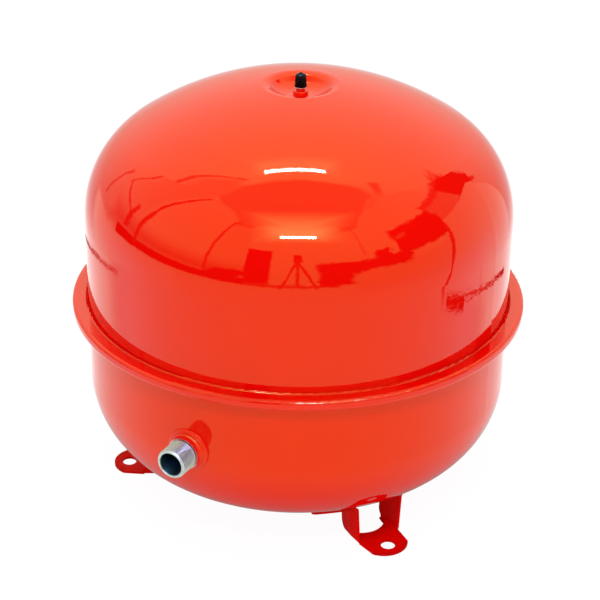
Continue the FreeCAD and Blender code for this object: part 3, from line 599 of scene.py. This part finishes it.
# Name, middle azimuth, middle elevation, half width, half height, soft edge, slant, tilt, ragged,
# brightness; a later card covers the ones before it
ROOM = [
    ("ceiling_shade", 0.0, 64.5, 118.0, 1.4, 1.0, 0.0, 0.0, 3.0, 0.9),
    ("ceiling_corner_left", -41.0, 53.5, 8.0, 3.0, 1.5, 0.0, 0.0, 4.0, 0.5),
    ("ceiling_corner_right", 38.0, 54.0, 8.0, 2.5, 1.5, 0.0, 0.0, 4.0, 0.6),
    ("white_wall_left", -108.0, 36.0, 12.0, 34.0, 3.0, 0.0, 0.0, 3.0, 1.5),
    ("white_screen_left", -70.0, 28.0, 21.5, 29.0, 1.5, 0.0, 0.0, 2.0, 1.8),
    ("white_wall_front", -38.0, 27.0, 9.0, 26.0, 2.0, 0.0, 0.0, 3.0, 1.6),
    ("ceiling_panel_right", 76.0, 54.0, 34.0, 12.0, 3.5, 0.0, 0.0, 9.0, 1.9),
    ("low_table_right", 58.0, -2.0, 28.0, 12.0, 2.0, 0.0, 0.0, 7.0, 1.4),
    ("low_light_left", -145.0, -27.0, 26.0, 5.0, 12.0, 0.0, 0.0, 0.0, 2.0),
    ("low_light_right", 145.0, -27.0, 26.0, 5.0, 12.0, 0.0, 0.0, 0.0, 2.0),
    ("low_table_left", -100.0, -14.0, 36.0, 10.0, 2.0, 0.0, 0.0, 4.0, 1.7),
    ("shade_left", -72.0, 5.0, 44.0, 6.0, 9.0, 0.0, 0.0, 2.0, 0.45),
    ("gap_far_left", -62.0, -2.5, 46.0, 3.4, 0.8, 0.0, 0.0, 2.0, 0.0),
    ("gap_near_left", -38.0, 2.5, 8.5, 5.5, 1.2, -0.9, 0.0, 4.0, 0.0),
    ("gap_under_camera", -4.0, -4.0, 24.0, 1.6, 1.4, 0.0, 0.0, 4.0, 0.25),
    ("doorway", -21.5, 15.5, 7.0, 17.0, 0.8, 0.0, 0.0, 2.0, 0.0),
    ("gap_right_of_camera", 19.0, 8.0, 9.0, 12.0, 1.5, 0.0, 0.0, 6.0, 0.02),
    ("gap_over_table", 44.0, 13.5, 18.0, 5.5, 1.5, 0.0, 0.0, 7.0, 0.02),
    ("bundle_over_table", 46.0, 21.0, 5.0, 4.5, 1.0, 0.3, 0.0, 8.0, 0.03),
    ("shelf_far", 101.0, 32.5, 12.0, 8.0, 1.5, 0.0, 0.0, 5.0, 0.85),
    ("shelf_far_top", 108.0, 42.0, 19.0, 2.6, 1.2, 0.0, 0.0, 5.0, 0.3),
    ("dark_corner_right", 73.0, 27.5, 17.0, 12.5, 1.2, 0.0, 0.0, 5.0, 0.02),
    ("lamp_head_right", 61.5, 32.0, 3.5, 1.4, 0.8, 0.0, 0.0, 5.0, 0.6),
    ("dark_corner_far", 121.0, 31.0, 9.0, 11.5, 1.2, 0.0, 0.0, 5.0, 0.04),
    ("white_screen_right", 101.0, -1.0, 15.0, 26.3, 0.4, -0.12, 0.0, 0.3, 1.7),
    ("white_screen_right_end", 119.0, -1.0, 16.0, 26.3, 0.4, 0.45, 0.0, 0.3, 1.7),
    ("screen_edge_right", 85.5, -1.4, 1.0, 25.9, 0.5, -0.12, 0.0, 0.3, 0.1),
    ("screen_foot_right", 92.0, -27.4, 7.0, 0.22, 0.06, 0.0, 0.0, 0.05, 0.0),
    ("screen_hem_right", 120.0, -26.8, 25.0, 0.09, 0.04, 0.0, -0.020, 0.03, 0.0),
    ("hem_left", -141.0, -25.95, 29.0, 0.08, 0.04, 0.0, 0.022, 0.03, 0.3),
    ("screen_edge_left", -92.5, 29.0, 1.3, 31.0, 0.7, 0.0, 0.0, 2.0, 0.1),
    ("screen_edge_front", -48.5, 28.0, 0.9, 26.0, 0.6, 0.0, 0.0, 2.0, 0.2),
    ("screen_arm_left", -111.0, 18.5, 1.5, 6.5, 0.8, 1.7, 0.0, 2.0, 0.3),
    ("stand_left", -102.0, 12.0, 1.6, 10.0, 1.0, 0.0, 0.0, 5.0, 0.1),
    ("stand_pole_left", -122.0, 47.0, 0.7, 24.0, 0.5, 0.0, 0.0, 1.0, 0.5),
    ("curtain_edge_left", -128.5, 14.0, 0.9, 12.0, 0.6, 0.05, 0.0, 2.0, 0.5),
    ("curtain_edge_right", 36.5, 38.0, 0.7, 14.0, 1.0, 0.0, 0.0, 2.0, 0.9),
    ("camera_head", 0.0, 26.0, 2.2, 4.0, 0.6, 0.0, 0.0, 3.0, 0.05),
    ("camera_post", 0.0, 11.0, 0.9, 14.0, 0.6, 0.0, 0.0, 1.0, 0.2),
    ("camera_leg_left", -4.5, 9.0, 0.8, 16.0, 0.5, -0.30, 0.0, 1.0, 0.15),
    ("camera_leg_right", 4.5, 9.0, 0.8, 16.0, 0.5, 0.30, 0.0, 1.0, 0.15),
]

# The ceiling panel and the two softboxes, counted by the angle aside and the angle over the tank
OVERHEAD = [
    ("ceiling_front", -0.8, 79.0, 24.0, 18.6, 0.9, 0.05, 0.0, 0.8, 1.05),
    ("glow_around_front", 0.2, 60.0, 12.0, 8.5, 12.0, 0.0, 0.0, 0.0, 6.0),
    ("glow_of_front", 0.0, 52.0, 8.5, 2.5, 8.0, 0.0, 0.0, 0.0, 9.0),
    ("front", -0.2, 48.5, 7.7, 1.2, 0.5, 0.0, 0.0, 0.3, 140.0),
    ("glow_of_rear", -1.4, 105.0, 11.0, 2.0, 3.5, 0.0, 0.0, 0.0, 4.5),
    ("rear", -1.4, 102.4, 8.9, 0.5, 0.35, 0.0, 0.0, 0.3, 160.0),
]

# The bare room gets brighter with height, at the back more than in front
behind = map_range(tree, calculate(tree, "ABSOLUTE", azimuth), 95.0, 125.0)
rise = map_range(tree, elevation, -5.0, 50.0, 1.55, 1.9)
ceiling = map_range(tree, elevation, 56.0, 66.0)
front_level = calculate(tree, "MULTIPLY_ADD", ceiling, -0.15, rise)
back_level = map_range(tree, elevation, 0.0, 75.0, 1.0, 2.8, smooth=False)
level = map_range(tree, behind, 0.0, 1.0, front_level, back_level, smooth=False)
for cards, across, up in ((ROOM, azimuth, elevation), (OVERHEAD, aside, over)):
    for name, *values, brightness in cards:
        card = tree.nodes.new("ShaderNodeGroup")
        card.node_tree = screen
        card.label = name
        for label, operand in zip(CARD_INPUTS, (across, up, wobble_across, wobble_up, *values)):
            supply(tree, card.inputs[label], operand)
        level = map_range(tree, card.outputs["Mask"], 0.0, 1.0, level, brightness, smooth=False)

# The lamps and the floor are bluer than the room and its back. Only gloss sees all this; the rest
# gets an even white light.
PLAIN_LEVEL = 0.8
cool = map_range(tree, elevation, -15.0, 0.0, calculate(tree, "MULTIPLY_ADD", behind, -0.35, 1.35),
                 calculate(tree, "MULTIPLY_ADD", behind, -0.15, 1.0))
lamp_blue = map_range(tree, level, 2.2, 25.0, PLAIN_LEVEL, 2.3)
light = tree.nodes.new("ShaderNodeCombineColor")
feed(tree, light, Red=PLAIN_LEVEL, Green=PLAIN_LEVEL,
     Blue=calculate(tree, "MULTIPLY", cool, lamp_blue))
room_light = tree.nodes.new("ShaderNodeBackground")
feed(tree, room_light, Color=light.outputs[0], Strength=level)
path = tree.nodes.new("ShaderNodeLightPath").outputs
plain_light = tree.nodes.new("ShaderNodeBackground")
feed(tree, plain_light, Color=(1, 1, 1),
     Strength=map_range(tree, path["Is Camera Ray"], 0.0, 1.0, PLAIN_LEVEL, 1.0))


def choose(tree, share, first, second):
    """Mix of two shaders."""
    node = tree.nodes.new("ShaderNodeMixShader")
    for socket, operand in zip(node.inputs, (share, first, second)):
        supply(tree, socket, operand)
    return node.outputs[0]


feed(tree, tree.nodes.new("ShaderNodeOutputWorld"), Surface=choose(
    tree, path["Is Glossy Ray"], plain_light.outputs[0], room_light.outputs[0]))

# The floor keeps the tank's shadow and shows white to the camera. In the gloss it glows with a
# painted shadow, dark close to the tank and bright further out, then gives way to the room, and
# from below it isn't there.
FLOOR_R = 2.9
floor_mesh = bpy.data.meshes.new("floor")
floor_edge = [(FLOOR_R * math.cos(angle), FLOOR_R * math.sin(angle), 0.0)
              for angle in map(math.radians, range(0, 360, 3))]
floor_mesh.from_pydata(floor_edge, [], [tuple(range(len(floor_edge)))])
floor = put_in_scene("floor", floor_mesh)


def emission(tree, strength):
    """White light of a strength."""
    node = tree.nodes.new("ShaderNodeEmission")
    feed(tree, node, Strength=strength)
    return node.outputs[0]


pale_floor, tree, shader = new_material("pale_floor")
feed(tree, shader, Base_Color=(0.9, 0.9, 0.9), Roughness=0.9, Specular_IOR_Level=0.0)
path = tree.nodes.new("ShaderNodeLightPath").outputs
open_floor = choose(tree, calculate(tree, "MULTIPLY", path["Is Camera Ray"], 0.93),
                    shader.outputs["BSDF"], emission(tree, 1.03))
spot = coordinates(tree, object_place(tree))
out = off_axis(tree, spot["X"], spot["Y"])
nothing = tree.nodes.new("ShaderNodeBsdfTransparent").outputs[0]
# Painted shadow: close to the tank the floor's glow in the gloss is dimmed
mirrored_with_painted_shadow = choose(tree, map_range(tree, out, 0.40, 0.50),
                  emission(tree, map_range(tree, out, 0.12, 0.32, 0.3, 1.25)), nothing)
from_above = choose(tree, path["Is Glossy Ray"], open_floor, mirrored_with_painted_shadow)
backfacing = tree.nodes.new("ShaderNodeNewGeometry").outputs["Backfacing"]
feed(tree, tree.nodes["Material Output"], Surface=choose(tree, backfacing, from_above, nothing))
floor_mesh.materials.append(pale_floor)

# Two softboxes light the tank, one from over the camera and one from straight above
LAMP_AIM = Vector((0, 0, 0.25))
LAMP_DISTANCE = 3.0


def softbox(name, aside, over, width, height, power):
    """Area lamp that faces the middle of the tank from an angle aside and an angle over it."""
    lamp = bpy.data.lights.new(name, "AREA")
    lamp.shape = "RECTANGLE"
    lamp.size = width
    lamp.size_y = height
    lamp.energy = power
    facing = (Matrix.Rotation(VIEW_AZIMUTH, 3, "Z")
              @ Matrix.Rotation(math.pi / 2 - math.radians(over), 3, "X")
              @ Matrix.Rotation(math.radians(aside), 3, "Y"))
    stand = put_in_scene(name, lamp)
    stand.location = LAMP_AIM + facing @ Vector((0, 0, LAMP_DISTANCE))
    stand.rotation_euler = facing.to_euler()
    stand.visible_camera = False
    stand.visible_glossy = False


softbox("softbox_front", 1.0, 47.8, 0.88, 0.2, 26.0)
softbox("softbox_rear", -1.9, 97.9, 1.1, 0.12, 24.0)

# The camera stands almost a metre and a half off and half a metre above the tank, as in the
# photograph
CAMERA_DISTANCE = 1.4315
CAMERA_HEIGHT = 0.9202
PITCH = math.radians(27.54)
ROLL = math.radians(0.73)
FOCAL_LENGTH = 107.12
SHIFT = 0.0033
camera_data = bpy.data.cameras.new("camera")
camera_data.sensor_width = 36.0
camera_data.lens = FOCAL_LENGTH
camera_data.shift_x = SHIFT
camera_data.clip_end = 50.0
camera = put_in_scene("camera", camera_data)
bpy.context.scene.camera = camera
towards = Matrix.Rotation(VIEW_AZIMUTH, 3, "Z")
forward = towards @ Vector((0, math.cos(PITCH), -math.sin(PITCH)))
right = towards @ Vector((1, 0, 0))
upward = towards @ Vector((0, math.sin(PITCH), math.cos(PITCH)))
right_rolled = right * math.cos(ROLL) + upward * math.sin(ROLL)
up_rolled = upward * math.cos(ROLL) - right * math.sin(ROLL)
camera.location = towards @ Vector((0, -CAMERA_DISTANCE, CAMERA_HEIGHT))
camera.rotation_euler = Matrix((right_rolled, up_rolled, -forward)).transposed().to_euler()

bpy.context.scene.view_settings.view_transform = "Standard"
